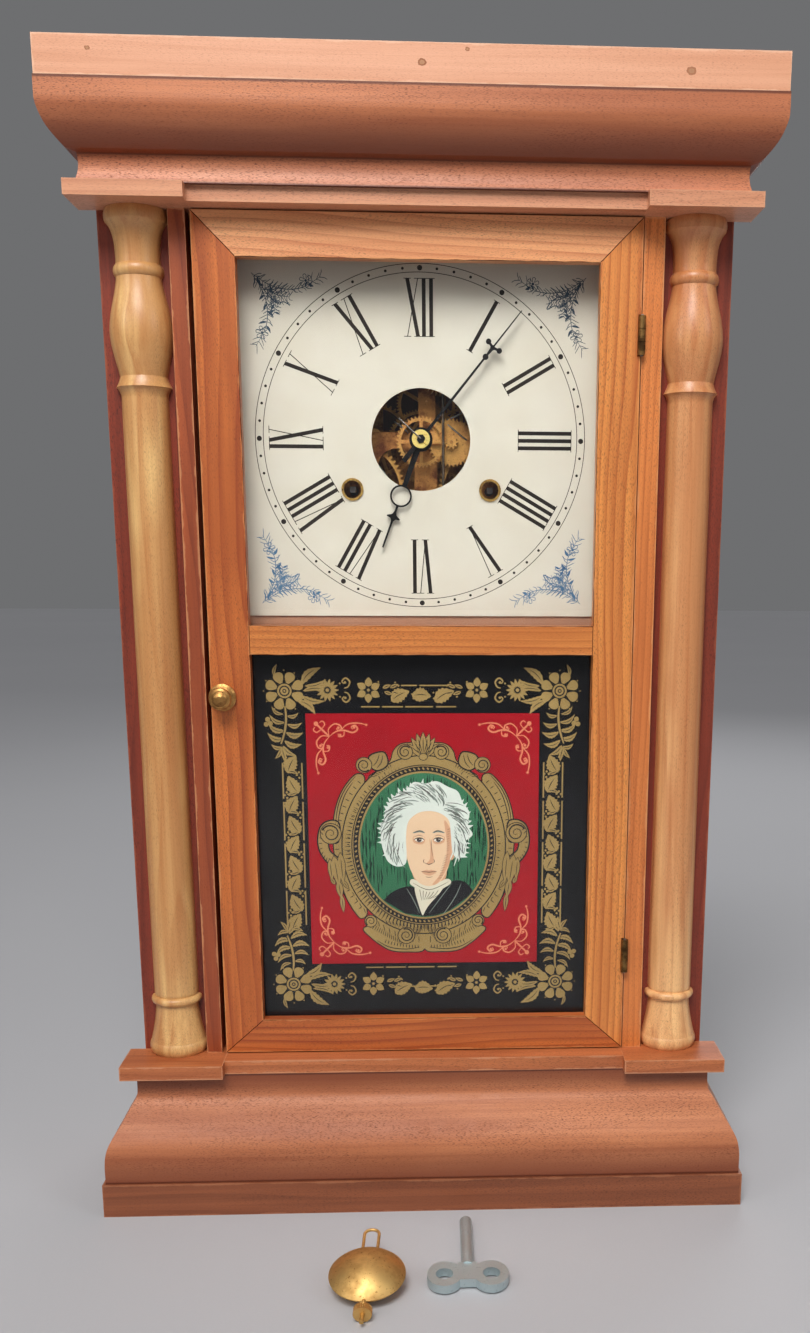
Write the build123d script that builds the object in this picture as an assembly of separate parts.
"""Column shelf clock: wooden case, glazed door, dial, striking movement, loose bob and key.

Millimetres, +Z up, the front faces -Y, the origin is the middle of the plinth's underside.
"""
import math
import os

from build123d import *

os.makedirs("parts", exist_ok=True)

# ---------------------------------------------------------------- driving sizes
# case, heights
PLINTH_H = 21.0
BASE_OGEE_H = 63.5
SHELF_H = 8.5
COLUMN_H = 490.0
CORNICE_SHELF_H = 8.0
CORNICE_OGEE_H = 46.0
TOP_H = 19.0
# case, plan
CASE_HALF_W = 177.0
DEPTH = 130.0
PLINTH_OUT = 21.0          # plinth beyond the case sides
TOP_OUT = 18.0             # top board beyond the case sides
BLOCK_OUT_X = 9.5          # end blocks beyond the case sides
BLOCK_OUT = 31.0           # end blocks in front of the recessed boards
STRIP_BACK = 8.5           # centre strips behind the end blocks
SIDE_T = 12.0
BACK_T = 8.0
PILASTER_T = 10.0
# columns
COLUMN_IN = 21.5           # column axes inside the case sides
# door
BAY_W = 52.5               # case side to the door's edge
DOOR_T = 18.0
DOOR_PROUD = 10.0          # door front in front of the recessed boards
DOOR_GAP_Z = 0.9
STILE_W = 23.7
TOP_RAIL_W = 23.6
MID_RAIL_W = 17.0
BOTTOM_RAIL_W = 21.1
UPPER_SIGHT_H = 200.0
LIP_T = 7.0                # wood in front of the glass
REBATE_W = 5.0
GLASS_T = 2.0
GLASS_FIT = 0.3
JAMB_W = 12.5              # door edge to the jamb's outer edge
JAMB_LEFT_GAP = 3.1
JAMB_RIGHT_GAP = 0.8
JAMB_PROUD = 8.0
JOG_IN = 0.5               # end blocks start this far inside the door's edge
# knob and latch
KNOB_IN = 6.9              # knob axis inside the door's left edge
KNOB_UP = 223.7            # knob axis above the base shelf
KNOB_R = 8.0
SPINDLE_R = 2.2
SPINDLE_FIT = 0.06
TONGUE_L = 15.0
TONGUE_W = 7.0
TONGUE_T = 1.4
LATCH_GAP = 0.4
# hinges
HINGE_H = 21.0
HINGE_UP = 61.9            # lower hinge's middle above the base shelf
HINGE_DOWN = 62.6          # upper hinge's middle below the cornice shelf
LEAF_T = 0.8
LEAF_W = 12.5
BARREL_R = 2.1
HINGE_PIN_R = 0.9
HINGE_FIT = 0.05
KNUCKLE_GAP = 0.2
BARREL_CLEAR = 0.4
# dial and hands
DIAL_DOWN = 118.0          # dial centre below the cornice shelf
DIAL_T = 1.0
DIAL_RECESS = 22.5         # dial face behind the door front
DIAL_LAP = 6.2             # dial beyond the door's sight, each side
DIAL_BELOW = 101.7
DIAL_ABOVE = 105.0
DIAL_HOLE_R = 28.9
WIND_X = 40.5
WIND_Z = -28.3
GROMMET_R = 6.45
GROMMET_BORE_R = 5.1
FRAME_T = 7.0
FRAME_BELOW = 120.0
MINUTE_ANGLE = 39.4        # clockwise from twelve
HOUR_ANGLE = 200.6
MINUTE_L = 91.7
HOUR_L = 65.7
HAND_T = 1.0
HAND_GAP = 1.6             # dial to hour hand, and hour hand to minute hand
COLLET_R = 5.2
CANNON_R = 2.0
HOUR_PIPE_R = 3.0
# movement
PLATE_T = 1.6
PLATE_BEHIND = 11.0        # front plate behind the dial's frame
PLATE_GAP = 31.4
PIVOT_FIT = 0.06
ARBOR_R = 1.25
PIVOT = 0.62               # pivot radius over arbor radius
MAIN_ARBOR_R = 2.6
STUD_R = 1.0
PILLAR_R = 3.5
PILLARS = ((-63.0, -57.0), (63.0, -57.0), (-52.0, 61.0), (52.0, 61.0))
PENDULUM_X = 13.0
ESCAPE_Z = 41.0
VERGE_ABOVE = 22.0
ROD_BEHIND = 3.5           # pendulum rod behind the dial's frame
ROD_R = 0.8
HOOK_DOWN = 197.0          # pendulum hook below the dial centre
# loose bob and key on the floor
BOB_X = -32.0
BOB_IN_FRONT = 88.5
BOB_R = 21.6
BOB_HALF_T = 10.0
BOB_TURN = -2.0
NUT_R = 5.3
NUT_AT = 29.0
NUT_FIT = 0.05
SCREW_R = 1.3
LOOP_AT = 11.0             # loop's middle beyond the bob's rim
LOOP_R = 4.2
WIRE_R = 0.9
KEY_X = 24.1
KEY_IN_FRONT = 79.0
KEY_STEM_R = 3.65
KEY_T = 5.0

# ---------------------------------------------------------------- derived levels and planes
Z_OGEE = PLINTH_H
Z_SHELF = Z_OGEE + BASE_OGEE_H
Z_COLUMN = Z_SHELF + SHELF_H
Z_CORNICE_SHELF = Z_COLUMN + COLUMN_H
Z_CORNICE = Z_CORNICE_SHELF + CORNICE_SHELF_H
Z_TOP = Z_CORNICE + CORNICE_OGEE_H
HEIGHT = Z_TOP + TOP_H
PLINTH_HALF_W = CASE_HALF_W + PLINTH_OUT
TOP_HALF_W = CASE_HALF_W + TOP_OUT
BLOCK_HALF_W = CASE_HALF_W + BLOCK_OUT_X
INNER_X = CASE_HALF_W - SIDE_T
COLUMN_X = CASE_HALF_W - COLUMN_IN
DOOR_HALF_W = CASE_HALF_W - BAY_W
SIGHT_HALF_W = DOOR_HALF_W - STILE_W
JAMB_OUTER_X = DOOR_HALF_W + JAMB_W
JOG_X = DOOR_HALF_W - JOG_IN
Y_BACK = DEPTH / 2
Y_FRONT = -DEPTH / 2
Y_RECESS = Y_FRONT + (PLINTH_HALF_W - BLOCK_HALF_W) + BLOCK_OUT
Y_BLOCK = Y_RECESS - BLOCK_OUT
Y_STRIP = Y_BLOCK + STRIP_BACK
Y_CARCASS = Y_RECESS + PILASTER_T
Y_INNER = Y_BACK - BACK_T
MITRE = BLOCK_HALF_W + Y_BLOCK          # x + y on every mitre line
Y_DOOR = Y_RECESS - DOOR_PROUD
Y_DOOR_BACK = Y_DOOR + DOOR_T
Y_GLASS = Y_DOOR + LIP_T
DOOR_Z0 = Z_COLUMN + DOOR_GAP_Z
DOOR_Z1 = Z_CORNICE_SHELF - DOOR_GAP_Z
UPPER_SIGHT = (DOOR_Z1 - TOP_RAIL_W - UPPER_SIGHT_H, DOOR_Z1 - TOP_RAIL_W)
LOWER_SIGHT = (DOOR_Z0 + BOTTOM_RAIL_W, UPPER_SIGHT[0] - MID_RAIL_W)
KNOB_X = -DOOR_HALF_W + KNOB_IN
KNOB_Z = Z_COLUMN + KNOB_UP
HINGE_Z = (Z_COLUMN + HINGE_UP, Z_CORNICE_SHELF - HINGE_DOWN)
DIAL_Z = Z_CORNICE_SHELF - DIAL_DOWN
DIAL_HALF_W = SIGHT_HALF_W + DIAL_LAP
HOOK_Z = DIAL_Z - HOOK_DOWN
Y_DIAL = Y_DOOR + DIAL_RECESS
Y_FRAME = Y_DIAL + DIAL_T
Y_FRAME_BACK = Y_FRAME + FRAME_T
PLATE_Y = Y_FRAME_BACK + PLATE_BEHIND
Y_PLATE2 = PLATE_Y + PLATE_T + PLATE_GAP
Y_PLATE2_BACK = Y_PLATE2 + PLATE_T
ROD_Y = Y_FRAME_BACK + ROD_BEHIND
JAMB_LEFT_X = -DOOR_HALF_W - JAMB_LEFT_GAP
JAMB_RIGHT_X = DOOR_HALF_W + JAMB_RIGHT_GAP
HINGE_X = DOOR_HALF_W + JAMB_RIGHT_GAP / 2
HINGE_Y = Y_DOOR - 0.9
BOB_AT = (BOB_X, Y_FRONT - BOB_IN_FRONT)
KEY_AT = (KEY_X, Y_FRONT - KEY_IN_FRONT)


# ---------------------------------------------------------------- helpers
def box(x0, x1, y0, y1, z0, z1):
    return Pos((x0 + x1) / 2, (y0 + y1) / 2, (z0 + z1) / 2) * Box(x1 - x0, y1 - y0, z1 - z0)


def rod_y(x, z, r, y0, y1):
    return Pos(x, (y0 + y1) / 2, z) * Rot(90, 0, 0) * Cylinder(r, y1 - y0)


def rod_z(x, y, r, z0, z1):
    return Pos(x, y, (z0 + z1) / 2) * Cylinder(r, z1 - z0)


def prism(sketch, y0, y1):
    """A sketch drawn in x and z, filled from y0 to y1."""
    plane = Plane(origin=(0, y1, 0), x_dir=(1, 0, 0), z_dir=(0, -1, 0))
    return extrude(plane * sketch, amount=y1 - y0)


def outline(points):
    return make_face(Polyline(*[(p[0], p[1]) for p in points], close=True))


def turned(points, arc=360.0):
    """Turn (radius, height) points about z; a half turning keeps the half in front."""
    edge = Polyline(*[(r, 0, z) for r, z in points], close=True)
    return revolve(make_face(edge), axis=Axis.Z, revolution_arc=arc)


def meet(c1, r1, c2, r2, side):
    """Where two circles cross, on the left (+1) or right (-1) of the way from c1 to c2."""
    dx, dz = c2[0] - c1[0], c2[1] - c1[1]
    d = math.hypot(dx, dz)
    a = (r1 * r1 - r2 * r2 + d * d) / (2 * d)
    h = math.sqrt(r1 * r1 - a * a) * side
    return (c1[0] + (a * dx - h * dz) / d, c1[1] + (a * dz + h * dx) / d)


def bearing(c1, c2):
    return math.degrees(math.atan2(c2[1] - c1[1], c2[0] - c1[0]))


def save(shape, name):
    shape.label = name
    export_step(shape, f"parts/{name}.step")


# ---------------------------------------------------------------- moulded case pieces
def face_of(*parts):
    edges = []
    for part in parts:
        edges += list(part.edges())
    return make_face(edges)


def base_section(inner):
    """Base moulding in x and z: straight foot, swelling, broad slope, hollow neck."""
    x0 = PLINTH_HALF_W - 1.8
    foot = (x0, Z_OGEE)
    shoulder = (x0, Z_OGEE + 9.0)
    neck = (x0 - 18.2, Z_OGEE + 55.0)
    head = (x0 - 18.2, Z_SHELF)
    way = [(x0 - 1.9, Z_OGEE + 22.7), (x0 - 9.4, Z_OGEE + 35.5), (x0 - 15.7, Z_OGEE + 46.5)]
    ogee = Spline(shoulder, *way, neck, tangents=((0, 1), (0, 1)))
    sides = Polyline(neck, head, (inner, Z_SHELF), (inner, Z_OGEE), foot, shoulder)
    return face_of(ogee, sides)


def cornice_section(inner):
    """Cornice in x and z: small cove, step, slope, swelling, straight head."""
    x0 = TOP_HALF_W + 0.4
    foot = (CASE_HALF_W + 4.2, Z_CORNICE)
    cove_top = (CASE_HALF_W + 2.6, Z_CORNICE + 14.2)
    step = (x0 - 11.6, Z_CORNICE + 15.2)
    crown = (x0, Z_CORNICE + 36.5)
    head = (x0, Z_TOP)
    way = [(x0 - 7.2, Z_CORNICE + 19.4), (x0 - 3.1, Z_CORNICE + 25.2), (x0 - 1.0, Z_CORNICE + 30.4)]
    cove = ThreePointArc(foot, (CASE_HALF_W + 2.2, Z_CORNICE + 7.2), cove_top)
    ogee = Spline(step, *way, crown, tangents=((1, 0.75), (0, 1)))
    sides = Polyline(crown, head, (inner, Z_TOP), (inner, Z_CORNICE), foot)
    return face_of(cove, Line(cove_top, step), ogee, sides)


def moulding(section, z0, z1):
    """Front length and right return of a moulding, mitred together at the front corner."""
    far = PLINTH_HALF_W + 32.0
    corner = MITRE - CASE_HALF_W
    front = prism(section(MITRE - Y_CARCASS), -far, far)
    front = Pos(0, MITRE, 0) * Rot(0, 0, -90) * front
    plan = [(CASE_HALF_W, Y_CARCASS), (CASE_HALF_W, corner), (far, MITRE - far)]
    plan = plan + [(-x, y) for x, y in reversed(plan)]
    front = front & extrude(Plane.XY.offset(z0) * outline(plan), amount=z1 - z0)
    right = prism(section(CASE_HALF_W), -far, Y_BACK)
    plan = [(CASE_HALF_W, Y_BACK), (CASE_HALF_W, corner), (far, MITRE - far), (far, Y_BACK)]
    right = right & extrude(Plane.XY.offset(z0) * outline(plan), amount=z1 - z0)
    return front, right


for name, section, z0, z1 in (
    ("base_ogee", base_section, Z_OGEE, Z_SHELF),
    ("cornice_ogee", cornice_section, Z_CORNICE, Z_TOP),
):
    front, right = moulding(section, z0, z1)
    save(front, f"{name}_front")
    save(right, f"{name}_right")
    save(mirror(right, about=Plane.YZ), f"{name}_left")

# ---------------------------------------------------------------- flat case pieces
save(box(-PLINTH_HALF_W, PLINTH_HALF_W, Y_FRONT, Y_BACK, 0, PLINTH_H), "plinth_board")
y_top = MITRE - TOP_HALF_W
save(box(-TOP_HALF_W, TOP_HALF_W, y_top, Y_BACK, Z_TOP, HEIGHT), "top_board")

shelves = {}
for name, z0, z1 in (("base", Z_SHELF, Z_COLUMN), ("cornice", Z_CORNICE_SHELF, Z_CORNICE)):
    shelf = box(-JOG_X, JOG_X, Y_STRIP, Y_RECESS, z0, z1)
    shelf += box(-JAMB_OUTER_X, JAMB_OUTER_X, Y_RECESS, Y_CARCASS, z0, z1)
    shelf += box(-INNER_X, INNER_X, Y_CARCASS, Y_INNER, z0, z1)
    save(shelf, f"{name}_shelf")
    block = box(JOG_X, BLOCK_HALF_W, Y_BLOCK, Y_RECESS, z0, z1)
    save(block, f"{name}_block_right")
    save(mirror(block, about=Plane.YZ), f"{name}_block_left")

side = box(INNER_X, CASE_HALF_W, Y_CARCASS, Y_BACK, Z_OGEE, Z_TOP)
save(side, "case_side_right")
save(mirror(side, about=Plane.YZ), "case_side_left")
save(box(-INNER_X, INNER_X, Y_INNER, Y_BACK, Z_OGEE, Z_TOP), "back_board")
pilaster = box(JAMB_OUTER_X, CASE_HALF_W, Y_RECESS, Y_CARCASS, Z_SHELF, Z_CORNICE)
save(pilaster, "pilaster_board_right")
save(mirror(pilaster, about=Plane.YZ), "pilaster_board_left")

# ---------------------------------------------------------------- half-round turned columns
def column():
    """Foot, bell, ring, tapered shaft, flared lip, vase, ring, neck and cap."""
    h = COLUMN_H
    path = [
        Line((0, 0), (16.4, 0)),
        ThreePointArc((16.4, 0), (18.0, 3.8), (17.0, 8.0)),
        ThreePointArc((17.0, 8.0), (14.5, 19.0), (12.9, 32.2)),
        ThreePointArc((12.9, 32.2), (15.6, 34.8), (13.2, 37.4)),
        Line((13.2, 37.4), (13.6, 39.0)),
        Line((13.6, 39.0), (13.1, h - 98.0)),
        Spline((13.1, h - 98.0), (13.9, h - 94.8), (15.6, h - 92.8), tangents=((0, 1), (1, 0.5))),
        ThreePointArc((15.6, h - 92.8), (14.3, h - 90.4), (13.2, h - 87.0)),
        Spline((13.2, h - 87.0), (15.2, h - 78.5), (17.5, h - 66.4), (15.4, h - 49.0), (12.6, h - 34.8),
               tangents=((0.2, 1), (-0.05, 1))),
        ThreePointArc((12.6, h - 34.8), (14.0, h - 31.4), (12.4, h - 28.0)),
        Spline((12.4, h - 28.0), (12.5, h - 20.0), (14.0, h - 11.0), (17.0, h - 6.4),
               tangents=((-0.1, 1), (1, 0.9))),
        ThreePointArc((17.0, h - 6.4), (17.5, h - 3.6), (16.6, h)),
        Line((16.6, h), (0, h)),
        Line((0, h), (0, 0)),
    ]
    face = Plane.XZ * face_of(*path)
    half = revolve(face, axis=Axis.Z, revolution_arc=180)
    if half.bounding_box().max.Y > 1.0:
        half = Rot(0, 0, 180) * half
    return half


post = column()
save(Pos(COLUMN_X, Y_RECESS, Z_COLUMN) * post, "column_right")
save(Pos(-COLUMN_X, Y_RECESS, Z_COLUMN) * post, "column_left")

# ---------------------------------------------------------------- hinges
third = HINGE_H / 3
leaf_y = HINGE_Y + LEAF_W
door_leaves = []
case_leaves = []
pins = []
for z in HINGE_Z:
    z0, z1 = z - HINGE_H / 2, z + HINGE_H / 2
    middle = rod_z(HINGE_X, HINGE_Y, BARREL_R, z0 + third + KNUCKLE_GAP, z1 - third - KNUCKLE_GAP)
    ends = rod_z(HINGE_X, HINGE_Y, BARREL_R, z0, z0 + third)
    ends += rod_z(HINGE_X, HINGE_Y, BARREL_R, z1 - third, z1)
    clear_middle = rod_z(HINGE_X, HINGE_Y, BARREL_R + BARREL_CLEAR, z0 + third, z1 - third)
    clear_low = rod_z(HINGE_X, HINGE_Y, BARREL_R + BARREL_CLEAR, z0 - 1, z0 + third + KNUCKLE_GAP)
    clear_high = rod_z(HINGE_X, HINGE_Y, BARREL_R + BARREL_CLEAR, z1 - third - KNUCKLE_GAP, z1 + 1)
    door_plate = box(DOOR_HALF_W - LEAF_T, DOOR_HALF_W, HINGE_Y, leaf_y, z0, z1) - clear_middle
    case_plate = box(JAMB_RIGHT_X, JAMB_RIGHT_X + LEAF_T, HINGE_Y, leaf_y, z0, z1)
    case_plate = case_plate - clear_low - clear_high
    bore = rod_z(HINGE_X, HINGE_Y, HINGE_PIN_R + HINGE_FIT, z0 - 1, z1 + 1)
    seat = rod_z(HINGE_X, HINGE_Y, HINGE_PIN_R, z0 - 1, z1 + 1)
    door_leaves.append(door_plate + ends - bore)
    case_leaves.append(case_plate + middle - seat)
    pins.append(rod_z(HINGE_X, HINGE_Y, HINGE_PIN_R, z0 - 0.6, z1 + 0.6))
save(Compound(door_leaves), "door_hinge_leaves")
save(Compound(case_leaves), "case_hinge_leaves")
save(Compound(pins), "hinge_pins")

# ---------------------------------------------------------------- jambs beside the door
y_jamb = Y_RECESS - JAMB_PROUD
jamb_left = box(-JAMB_OUTER_X, JAMB_LEFT_X, y_jamb, Y_DOOR_BACK, Z_COLUMN, Z_CORNICE_SHELF)
save(jamb_left, "jamb_left")
jamb_right = box(JAMB_RIGHT_X, JAMB_OUTER_X, y_jamb, Y_DOOR_BACK, Z_COLUMN, Z_CORNICE_SHELF)
for z in HINGE_Z:
    jamb_right -= box(JAMB_RIGHT_X - 1, JAMB_RIGHT_X + LEAF_T, y_jamb - 1, leaf_y,
                      z - HINGE_H / 2, z + HINGE_H / 2)
save(jamb_right, "jamb_right")

# ---------------------------------------------------------------- door
rebates = []
for z0, z1 in (UPPER_SIGHT, LOWER_SIGHT):
    rebates.append(box(-SIGHT_HALF_W - REBATE_W, SIGHT_HALF_W + REBATE_W, Y_GLASS, Y_DOOR_BACK + 1,
                       z0 - REBATE_W, z1 + REBATE_W))
w, s = DOOR_HALF_W, SIGHT_HALF_W
low, high = LOWER_SIGHT[0], UPPER_SIGHT[1]
tenon_y = (Y_DOOR + 1.8, Y_DOOR + 5.8)
tenon = box(-s - 8, s + 8, *tenon_y, LOWER_SIGHT[1] + 3, UPPER_SIGHT[0] - 3)
rail_mid = box(-s, s, Y_DOOR, Y_DOOR_BACK, LOWER_SIGHT[1], UPPER_SIGHT[0]) + tenon
stile = prism(outline([(w, DOOR_Z0), (w, DOOR_Z1), (s, high), (s, low)]), Y_DOOR, Y_DOOR_BACK)
stile_left = mirror(stile, about=Plane.YZ) - tenon
stile_right = stile - tenon
rail_top = prism(outline([(-w, DOOR_Z1), (w, DOOR_Z1), (s, high), (-s, high)]), Y_DOOR, Y_DOOR_BACK)
rail_bottom = prism(outline([(-w, DOOR_Z0), (w, DOOR_Z0), (s, low), (-s, low)]), Y_DOOR, Y_DOOR_BACK)
for z in HINGE_Z:
    z0, z1 = z - HINGE_H / 2, z + HINGE_H / 2
    stile_right -= box(w - LEAF_T, w + 1, Y_DOOR - 2, leaf_y, z0, z1)
    stile_right -= rod_z(HINGE_X, HINGE_Y, BARREL_R + BARREL_CLEAR, z0 - 0.8, z1 + 0.8)
stile_left -= rod_y(KNOB_X, KNOB_Z, SPINDLE_R + SPINDLE_FIT, Y_DOOR - 1, Y_DOOR_BACK + 1)
for piece, name in (
    (stile_left, "door_stile_left"), (stile_right, "door_stile_right"), (rail_top, "door_rail_top"),
    (rail_mid, "door_rail_mid"), (rail_bottom, "door_rail_bottom"),
):
    for rebate in rebates:
        piece = piece - rebate
    save(piece, name)
for (z0, z1), name in ((UPPER_SIGHT, "dial_glass"), (LOWER_SIGHT, "tablet_glass")):
    edge = REBATE_W - GLASS_FIT
    save(box(-s - edge, s + edge, Y_GLASS, Y_GLASS + GLASS_T, z0 - edge, z1 + edge), name)

# knob: concentric rings on a spindle, with the latch tongue behind the stile
knob_path = [
    (0, 0.15), (KNOB_R - 0.6, 0.15), (KNOB_R, 0.9), (KNOB_R, 2.0), (KNOB_R - 1.2, 2.8), (5.2, 3.4),
    (4.1, 5.4), (4.4, 7.2), (6.0, 8.4), (6.6, 9.8), (6.2, 11.2), (4.9, 12.1), (4.4, 12.0), (3.4, 12.8),
    (1.8, 13.5), (0, 13.7),
]
back = Y_DOOR_BACK + LATCH_GAP
knob = Pos(KNOB_X, Y_DOOR, KNOB_Z) * Rot(90, 0, 0) * turned([(r, z) for r, z in knob_path])
knob += rod_y(KNOB_X, KNOB_Z, SPINDLE_R, Y_DOOR - 0.5, back + TONGUE_T + 0.8)
save(knob, "door_knob")
tongue = box(KNOB_X - TONGUE_W / 2, KNOB_X + TONGUE_W / 2, back, back + TONGUE_T,
             KNOB_Z - TONGUE_L, KNOB_Z)
tongue += rod_y(KNOB_X, KNOB_Z, TONGUE_W / 2, back, back + TONGUE_T)
tongue -= rod_y(KNOB_X, KNOB_Z, SPINDLE_R, back - 1, back + TONGUE_T + 1)
save(tongue, "latch_tongue")

# ---------------------------------------------------------------- dial
at_dial = Pos(0, 0, DIAL_Z)
frame = box(-INNER_X, INNER_X, Y_FRAME, Y_FRAME_BACK, DIAL_Z - FRAME_BELOW, Z_CORNICE_SHELF)
frame -= box(-DIAL_HALF_W + 14, DIAL_HALF_W - 14, Y_FRAME - 1, Y_FRAME_BACK + 1,
             DIAL_Z - DIAL_BELOW + 8, DIAL_Z + DIAL_ABOVE - 8)
save(frame, "dial_frame")
plate = box(-DIAL_HALF_W, DIAL_HALF_W, Y_DIAL, Y_FRAME, DIAL_Z - DIAL_BELOW, DIAL_Z + DIAL_ABOVE)
plate -= rod_y(0, DIAL_Z, DIAL_HOLE_R, Y_DIAL - 1, Y_FRAME + 1)
grommets = []
for x in (-WIND_X, WIND_X):
    z = DIAL_Z + WIND_Z
    plate -= rod_y(x, z, GROMMET_R - 0.6, Y_DIAL - 1, Y_FRAME + 1)
    ring = rod_y(x, z, GROMMET_R, Y_DIAL - 0.7, Y_DIAL) + rod_y(x, z, GROMMET_R - 0.6, Y_DIAL, Y_FRAME + 1.2)
    grommets.append(ring - rod_y(x, z, GROMMET_BORE_R, Y_DIAL - 2, Y_FRAME + 3))
save(plate, "dial_plate")
save(Compound(grommets), "winding_grommets")


# ---------------------------------------------------------------- hands
def swing(shape, angle):
    """Turn a hand drawn pointing up, clockwise as seen from the front."""
    return Pos(0, 0, DIAL_Z) * Rot(0, angle, 0) * shape


def blade(l0, w0, l1, w1):
    return outline([(-w0 / 2, l0), (w0 / 2, l0), (w1 / 2, l1), (-w1 / 2, l1)])


y_hour = Y_DIAL - HAND_GAP - HAND_T
y_minute = y_hour - HAND_GAP - HAND_T
hour_ring = 0.52 * HOUR_L
hour_barb = 0.717 * HOUR_L
hour = blade(0, 3.8, hour_ring - 5, 2.6) + Circle(6.8) + Pos(0, hour_ring) * Circle(6.4)
hour += blade(hour_ring + 5, 1.4, hour_barb, 1.3) + blade(hour_barb, 1.3, HOUR_L, 1.0)
half = [(0.6, -3.6), (1.4, -1.5), (4.0, -0.1), (4.0, 0.6), (1.7, 0.9), (0.6, 2.4)]
hour += outline([(x, hour_barb + up) for x, up in half] + [(-x, hour_barb + up) for x, up in half[::-1]])
hour -= Pos(0, hour_ring) * Circle(5.35)
hour -= Circle(HOUR_PIPE_R)
save(swing(prism(hour, y_hour, y_hour + HAND_T), HOUR_ANGLE), "hour_hand")
star = 0.714 * MINUTE_L
minute = blade(-16, 3.0, 0, 2.4) + blade(0, 1.9, star, 1.0) + blade(star, 1.0, MINUTE_L, 0.5)
minute += Circle(COLLET_R + 0.4)
minute += Pos(0, star - 6.4) * Circle(1.7) + Pos(0, star) * Circle(1.4) + blade(star - 6, 1.0, star, 2.2)
for side in (-1, 1):
    minute += Pos(side * 4.0, star + 1.2) * Circle(1.55)
    arm = [(0, star - 0.7), (side * 4.0, star + 0.6), (side * 4.0, star + 1.8), (0, star + 1.0)]
    minute += outline(arm[::side])
minute -= Circle(CANNON_R)
save(swing(prism(minute, y_minute, y_minute + HAND_T), MINUTE_ANGLE), "minute_hand")
y_nose = y_minute - 2.2
y_tip = y_nose + 1.3          # front end of the centre arbor, inside the collet
collet = rod_y(0, DIAL_Z, COLLET_R, y_nose + 0.5, y_minute)
collet -= rod_y(0, DIAL_Z, ARBOR_R + PIVOT_FIT, y_nose + 1.1, y_minute + 1)
collet += swing(Pos(0, y_nose + 0.4, 0) * Rot(0, 90, 0) * Cylinder(0.55, 9.4), 43)
save(collet, "hand_collet")


# ---------------------------------------------------------------- wheelwork
def toothed(teeth, module, angle, width=0.42, add=0.75, ded=1.15):
    """Wheel rim outline with slim teeth; `angle` is the middle of one gap, in degrees."""
    pitch = teeth * module / 2
    step = 2 * math.pi / teeth
    root, tip = pitch - ded * module, pitch + add * module
    pts = []
    for i in range(teeth):
        mid = math.radians(angle) + (i + 0.5) * step
        for r, half in ((root, width / 2 + 0.08), (pitch, width / 2), (tip, width / 5)):
            pts.append((r * math.cos(mid - half * step), r * math.sin(mid - half * step)))
        for r, half in ((tip, width / 5), (pitch, width / 2), (root, width / 2 + 0.08)):
            pts.append((r * math.cos(mid + half * step), r * math.sin(mid + half * step)))
    return outline(pts)


def crossed(teeth, module, angle, hub, arms):
    """Toothed wheel with arms instead of a solid web."""
    pitch = teeth * module / 2
    rim = pitch - 1.15 * module - 1.6
    window = Circle(rim) - Circle(hub)
    for i in range(arms):
        a = 360 / arms * i + angle
        window -= Rot(0, 0, a) * Pos(rim / 2, 0) * Rectangle(rim + 2, 2.0)
    return toothed(teeth, module, angle) - window


def lantern(pins, module, angle, y0, y1, at, pin_r=None):
    """Lantern pinion: two end plates and a ring of pins; `angle` points at one pin."""
    pitch = pins * module / 2
    pin_r = pin_r or 0.32 * module
    solid = rod_y(*at, pitch + pin_r + 0.35 * module, y0, y0 + 0.7)
    solid += rod_y(*at, pitch + pin_r + 0.35 * module, y1 - 0.7, y1)
    for i in range(pins):
        a = math.radians(angle + 360 / pins * i)
        solid += rod_y(at[0] + pitch * math.cos(a), at[1] + pitch * math.sin(a), pin_r, y0, y1)
    return solid


def wheel_at(sketch, at, y0, thick):
    return prism(Pos(at[0], at[1]) * sketch, y0, y0 + thick)


centre = (0.0, DIAL_Z)
time_main = (WIND_X, DIAL_Z + WIND_Z)
strike_main = (-WIND_X, DIAL_Z + WIND_Z)
escape = (PENDULUM_X, DIAL_Z + ESCAPE_Z)
verge_at = (PENDULUM_X, DIAL_Z + ESCAPE_Z + VERGE_ABOVE)
MAIN = (60, 1.0, 8)            # teeth, module, pins of the pinion it drives
SECOND = (44, 1.0, 8)
CENTRE = (72, 0.6, 8)
THIRD = (60, 0.6, 6)


def reach(train):
    return (train[0] + train[2]) * train[1] / 2


second = meet(time_main, reach(MAIN), centre, reach(SECOND), -1)
strike_second = meet(strike_main, reach(MAIN), centre, reach(SECOND) + 2.6, 1)
third_at = meet(centre, reach(CENTRE), escape, reach(THIRD), 1)
y_in, y_out = PLATE_Y + PLATE_T, Y_PLATE2


def pivoted(at, r):
    """Arbor between the plates with thinner pivots running in both of them."""
    solid = rod_y(*at, r, y_in + 0.3, y_out - 0.3)
    return solid + rod_y(*at, PIVOT * r, PLATE_Y + 0.1, Y_PLATE2_BACK - 0.1)


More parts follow.
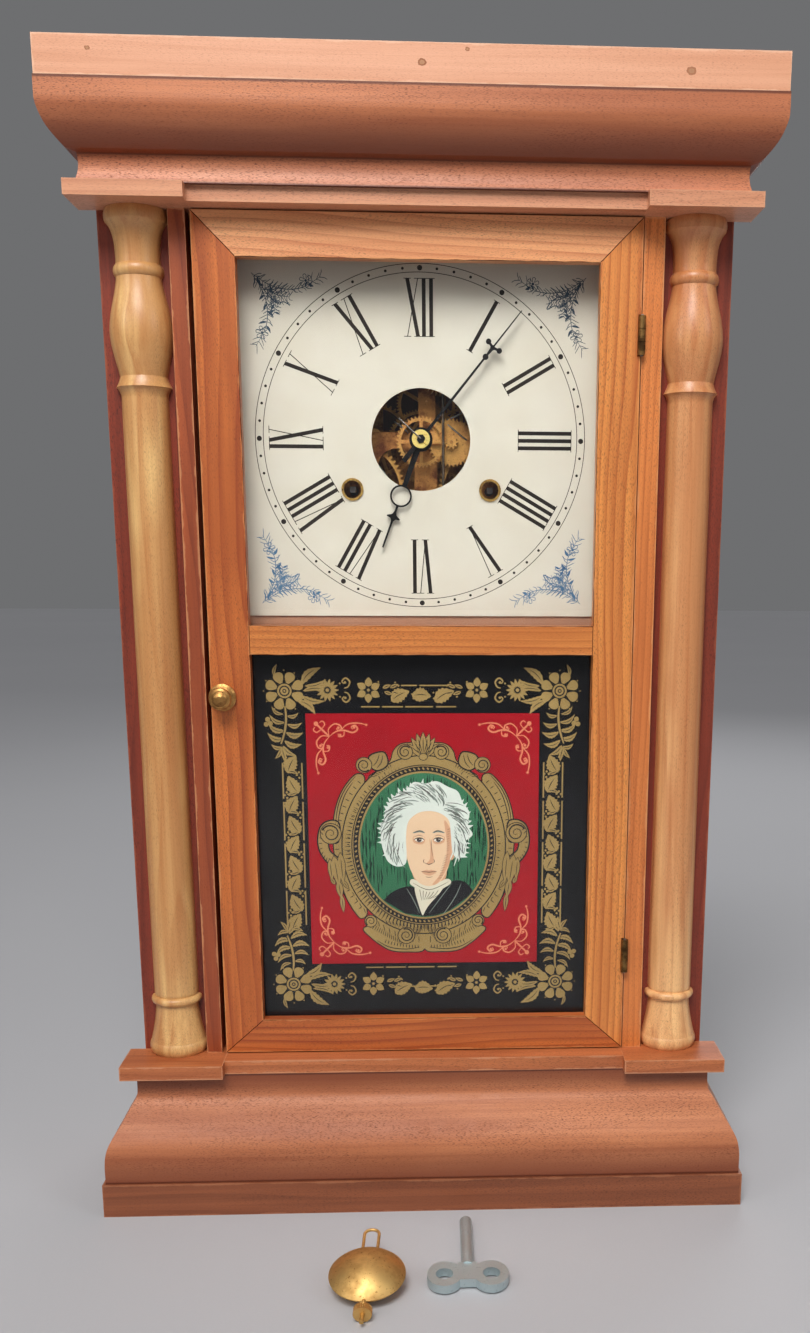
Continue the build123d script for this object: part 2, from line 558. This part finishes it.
for name, at, to in (("time", time_main, second), ("strike", strike_main, strike_second)):
    turn = bearing(at, to)
    body = wheel_at(crossed(MAIN[0], MAIN[1], turn, 9.0, 5), at, y_in + 1.4, 2.0)
    body += rod_y(*at, MAIN_ARBOR_R, y_in + 0.3, y_out - 0.3)
    body += rod_y(*at, 1.8, y_in, Y_PLATE2_BACK - 0.1)
    body += rod_y(*at, MAIN_ARBOR_R, PLATE_Y - 1.0, y_in + 1)
    body += wheel_at(toothed(24, 0.5, 0), at, y_in + 4.0, 1.4)
    square = 3.5
    body += box(at[0] - square / 2, at[0] + square / 2, Y_DIAL + 2.2, PLATE_Y - 0.9,
                at[1] - square / 2, at[1] + square / 2)
    save(body, f"{name}_main_wheel")
for name, at, main, onward in (
    ("time", second, time_main, centre), ("strike", strike_second, strike_main, None),
):
    aim = bearing(at, onward) if onward else 20.0
    body = pivoted(at, 1.3)
    body += lantern(MAIN[2], MAIN[1], bearing(at, main), y_in + 0.5, y_in + 4.4, at)
    body += wheel_at(crossed(SECOND[0], SECOND[1], aim, 5.0, 4), at, y_out - 3.6, 1.4)
    save(body, f"{name}_second_wheel")

body = pivoted(centre, 1.9)
body += rod_y(*centre, ARBOR_R, y_tip, PLATE_Y + 1)
body += lantern(SECOND[2], SECOND[1], bearing(centre, second), y_out - 4.7, y_out - 1.2, centre)
body += wheel_at(crossed(CENTRE[0], CENTRE[1], bearing(centre, third_at), 4.5, 5), centre, y_out - 8.2, 1.4)
save(body, "centre_wheel")
body = pivoted(third_at, 1.0)
body += lantern(CENTRE[2], CENTRE[1], bearing(third_at, centre), y_out - 9.2, y_out - 5.8, third_at)
body += wheel_at(crossed(THIRD[0], THIRD[1], bearing(third_at, escape), 4.0, 4), third_at, y_out - 14.0, 1.2)
save(body, "third_wheel")

# escape wheel in front of the plate, with hooked teeth
ESCAPE_TEETH = 36
tip, root = 15.0, 12.2
pts = []
for i in range(ESCAPE_TEETH):
    a = 2 * math.pi * i / ESCAPE_TEETH
    for r, shift in ((root, 0.0), (tip, 0.30), (tip, 0.36), (root, 0.62)):
        b = a + shift * 2 * math.pi / ESCAPE_TEETH
        pts.append((r * math.cos(b), r * math.sin(b)))
window = Circle(10.0) - Circle(3.4)
for i in range(4):
    window -= Rot(0, 0, 90 * i + 20) * Pos(5, 0) * Rectangle(12, 1.8)
y_escape = PLATE_Y - 4.4
body = wheel_at(outline(pts) - window, escape, y_escape, 1.2)
body += rod_y(*escape, 0.9, y_escape - 0.3, y_out - 0.3)
body += lantern(THIRD[2], THIRD[1], bearing(escape, third_at), y_out - 15.2, y_out - 11.6, escape)
body += rod_y(*escape, 0.62, y_out - 1, Y_PLATE2_BACK - 0.1)
save(body, "escape_wheel")

# ---------------------------------------------------------------- motion work behind the dial
CANNON = (12, 0.75)
MINUTE_WHEEL = (36, 0.75)
MINUTE_PINION = (10, 0.72)
HOUR_WHEEL = (40, 0.72)
MOTION_D = (CANNON[0] + MINUTE_WHEEL[0]) * CANNON[1] / 2
motion_dir = 0.0
motion_at = (MOTION_D * math.cos(math.radians(motion_dir)),
             DIAL_Z + MOTION_D * math.sin(math.radians(motion_dir)))
y_motion = PLATE_Y - 3.4
cannon = rod_y(*centre, CANNON_R, y_minute, y_motion + 2.4)
cannon += wheel_at(toothed(*CANNON, motion_dir + 180 / CANNON[0]), centre, y_motion, 2.4)
cannon -= rod_y(*centre, ARBOR_R + PIVOT_FIT, y_minute - 1, PLATE_Y)
save(cannon, "cannon_pinion")
hour_pipe = rod_y(*centre, HOUR_PIPE_R, y_hour, y_motion - 1.2)
hour_pipe += wheel_at(crossed(*HOUR_WHEEL, motion_dir, 5.0, 4), centre, y_motion - 2.6, 1.4)
hour_pipe -= rod_y(*centre, CANNON_R + PIVOT_FIT, y_hour - 1, PLATE_Y)
save(hour_pipe, "hour_wheel")
motion = wheel_at(toothed(*MINUTE_WHEEL, motion_dir + 180), motion_at, y_motion + 0.2, 1.4)
motion += wheel_at(toothed(*MINUTE_PINION, motion_dir + 180 + 180 / MINUTE_PINION[0]), motion_at,
                   y_motion - 3.0, 3.4)
motion -= rod_y(*motion_at, STUD_R + PIVOT_FIT, y_motion - 4, PLATE_Y)
save(motion, "minute_wheel")

# ---------------------------------------------------------------- verge and pendulum rod
y_verge = y_escape - 0.2
at = (verge_at[0], verge_at[1])
arms = [(-2.6, 1.6), (2.6, 1.6), (13.6, -4.4), (15.0, -12.4), (13.4, -12.4), (11.9, -6.0), (2.2, -1.6),
        (-2.2, -1.6), (-11.9, -6.0), (-13.4, -12.4), (-15.0, -12.4), (-13.6, -4.4)]
verge = wheel_at(outline(arms) + Circle(2.8), at, y_verge, 1.6)
verge += rod_y(*at, 2.2, y_verge - 1.6, y_verge)
verge -= rod_y(*at, STUD_R + PIVOT_FIT, y_verge - 3, PLATE_Y)
y_crutch = y_verge - 1.2
verge += rod_z(at[0], y_crutch, 0.55, at[1] - 30.0, at[1] - 1.6)
for side in (-1, 1):
    verge += rod_y(at[0] + side * 1.6, at[1] - 30.0, 0.5, ROD_Y - 1.4, y_crutch)
verge += Pos(at[0], y_crutch, at[1] - 30.0) * Rot(0, 90, 0) * Cylinder(0.5, 4.2)
save(verge, "verge")
rod = rod_z(at[0], ROD_Y, ROD_R, HOOK_Z + 5.6, at[1] - 1.0)
rod += box(at[0] - 1.5, at[0] + 1.5, ROD_Y - 0.8, ROD_Y + 0.8, at[1] - 6.0, at[1] - 0.4)
hook = Pos(at[0], ROD_Y, HOOK_Z + 2.6) * Rot(90, 0, 0) * Torus(3.2, ROD_R)
hook -= box(at[0] - 6, at[0] - 0.6, ROD_Y - 2, ROD_Y + 2, HOOK_Z + 2.4, HOOK_Z + 5.0)
save(rod + hook, "pendulum_rod")

# ---------------------------------------------------------------- plates, pillars, springs
z0 = DIAL_Z
shape = outline([(-70, -64), (70, -64), (66, -18), (59, 72), (-59, 72), (-66, -18)])


def window(x0, x1, z0, z1):
    return Pos((x0 + x1) / 2, (z0 + z1) / 2) * Rectangle(x1 - x0, z1 - z0)


def arch(x0, x1, z0, z1):
    """Opening with a round head."""
    r = (x1 - x0) / 2
    return window(x0, x1, z0, z1 - r) + Pos((x0 + x1) / 2, z1 - r) * Circle(r)


front = shape - arch(-26.0, -4.2, -37, -3.4) - arch(9.4, 29.2, -37, -3.4)
front -= window(-30.0, -1.6, 6.0, 34.0) + window(8.4, 27.0, 6.0, 31.0)
back = shape - window(-24.0, -2.0, 8.0, 50.0) - window(15.0, 27.0, 8.0, 34.0)
for m in (-1, 1):
    x0, x1 = sorted((m * 34.0, m * 54.0))
    front -= window(x0, x1, 6, 50)
    back -= window(x0, x1, 6, 50)
    x0, x1 = sorted((m * 14.0, m * 52.0))
    front -= window(x0, x1, -56, -44)
    back -= window(x0, x1, -56, -44)
front = prism(Pos(0, z0) * front, PLATE_Y, PLATE_Y + PLATE_T)
back = prism(Pos(0, z0) * back, Y_PLATE2, Y_PLATE2_BACK)
small = (second, strike_second, third_at)
small_r = (1.3 * PIVOT, 1.3 * PIVOT, 1.0 * PIVOT)
fronts = [(time_main, MAIN_ARBOR_R), (strike_main, MAIN_ARBOR_R), (centre, ARBOR_R), (escape, 0.9)]
backs = [(time_main, 1.8), (strike_main, 1.8), (centre, 1.9 * PIVOT), (escape, 0.62)]
for at, r in fronts + list(zip(small, small_r)):
    front -= rod_y(*at, r + PIVOT_FIT, PLATE_Y - 1, PLATE_Y + 3)
for at, r in backs + list(zip(small, small_r)):
    back -= rod_y(*at, r + PIVOT_FIT, Y_PLATE2 - 1, Y_PLATE2 + 3)
pillars = []
for x, z in PILLARS:
    post = rod_y(x, z0 + z, PILLAR_R, PLATE_Y + PLATE_T, Y_PLATE2)
    post += rod_y(x, z0 + z, 2.0, PLATE_Y, Y_INNER) + rod_y(x, z0 + z, 4.5, Y_PLATE2_BACK, Y_INNER)
    nut = Pos(x, z0 + z) * RegularPolygon(3.6, 6)
    pillars.append(post + prism(nut, PLATE_Y - 2.2, PLATE_Y))
    front -= rod_y(x, z0 + z, 2.0, PLATE_Y - 1, PLATE_Y + 3)
    back -= rod_y(x, z0 + z, 2.0, Y_PLATE2 - 1, Y_PLATE2 + 3)
front += rod_y(*motion_at, STUD_R, y_motion - 3.1, PLATE_Y)
front += rod_y(*verge_at, STUD_R, y_verge - 1.8, PLATE_Y)
front += rod_y(verge_at[0], verge_at[1] + 5.0, 1.6, ROD_Y - 1.6, PLATE_Y)
front += box(verge_at[0] - 0.3, verge_at[0] + 0.3, ROD_Y - 1.0, ROD_Y + 1.0, verge_at[1], verge_at[1] + 4.5)
save(front, "front_plate")
save(back, "back_plate")
save(Compound(pillars), "pillars")

springs = []
for at, (px, pz), hand in ((time_main, PILLARS[1], 1), (strike_main, PILLARS[0], -1)):
    post = (px, z0 + pz)
    aim = math.atan2(post[1] - at[1], post[0] - at[0])
    far = math.hypot(post[0] - at[0], post[1] - at[1])
    turns, r0, r1, leaf, steps = 6, 6.5, 21.5, 0.9, 24
    inner, outer = [], []
    for i in range(turns * steps + 1):
        a = aim - hand * (0.9 + 2 * math.pi * (turns - i / steps))
        r = r0 + (r1 - r0) * i / (turns * steps)
        inner.append((at[0] + r * math.cos(a), at[1] + r * math.sin(a)))
        outer.append((at[0] + (r + leaf) * math.cos(a), at[1] + (r + leaf) * math.sin(a)))
    # the outer end runs out to its pillar
    for k in (0.45, 1.0):
        a = aim - hand * 0.9 * (1 - k)
        r = r1 + (far - r1 - 1.0) * k
        inner.append((at[0] + r * math.cos(a), at[1] + r * math.sin(a)))
        outer.append((at[0] + (r + leaf) * math.cos(a), at[1] + (r + leaf) * math.sin(a)))
    coil = prism(outline(inner + outer[::-1]), y_in + 7.0, y_in + 25.0)
    springs.append(coil - rod_y(*post, PILLAR_R, y_in, y_out))
save(Compound(springs), "mainsprings")

# ---------------------------------------------------------------- loose bob, lying on its back
swell = (BOB_R ** 2 + BOB_HALF_T ** 2) / (2 * BOB_HALF_T)
drop = swell - BOB_HALF_T
lie = math.degrees(math.asin((BOB_HALF_T - NUT_R) / NUT_AT))
lens = (Pos(0, 0, -drop) * Sphere(swell)) & (Pos(0, 0, drop) * Sphere(swell))
lens = lens & Cylinder(BOB_R - 0.25, 4 * BOB_HALF_T)
leg = LOOP_AT + 2.6           # hairpin loop: two legs and a half ring
wire = Pos(0, BOB_R + LOOP_AT, 0) * (Torus(LOOP_R, WIRE_R) - Pos(0, -10, 0) * Box(40, 20, 10))
for side in (-1, 1):
    wire += Pos(side * LOOP_R, BOB_R + LOOP_AT - leg / 2, 0) * Rot(90, 0, 0) * Cylinder(WIRE_R, leg)
screw = Pos(0, -NUT_AT + 1.0, 0) * Rot(90, 0, 0) * Cylinder(SCREW_R, 17.0)
knurls = toothed(28, 2 * NUT_R / 30, 0, width=0.5, add=0.5, ded=0.5)
nut = Plane.XZ * knurls
nut = extrude(nut, amount=2.2, both=True) - Rot(90, 0, 0) * Cylinder(SCREW_R + NUT_FIT, 10)
place = Pos(BOB_AT[0], BOB_AT[1], 0) * Rot(0, 0, BOB_TURN) * Pos(0, 0, swell + 0.02)
place = place * Rot(lie, 0, 0) * Pos(0, 0, -drop)
bob = lens + wire + screw
lowest = (place * (bob + Pos(0, -NUT_AT, 0) * nut)).bounding_box().min.Z
place = Pos(0, 0, -lowest) * place
save(place * bob, "pendulum_bob")
save(place * Pos(0, -NUT_AT, 0) * nut, "rating_nut")

# ---------------------------------------------------------------- loose winding key
wings = Pos(13.0, -1.0) * Ellipse(10.0, 12.4) + Pos(-13.0, -1.0) * Ellipse(10.0, 12.4)
wings += Rectangle(18, 15.0) + Pos(0, 6) * Rectangle(11, 9)
for side in (-1, 1):
    wings -= Pos(side * 13.2, -1.2) * Ellipse(4.9, 5.4)
key = Pos(0, 0, KEY_STEM_R) * extrude(wings, amount=KEY_T / 2, both=True)
stem = Pos(0, 34, KEY_STEM_R) * Rot(90, 0, 0) * Cylinder(KEY_STEM_R, 50)
stem += Pos(0, 56, KEY_STEM_R) * Rot(90, 0, 0) * Cylinder(KEY_STEM_R, 5)
key += stem
key -= box(-1.95, 1.95, 42, 60, KEY_STEM_R - 1.95, KEY_STEM_R + 1.95)
save(Pos(KEY_AT[0], KEY_AT[1], 0) * key, "winding_key")
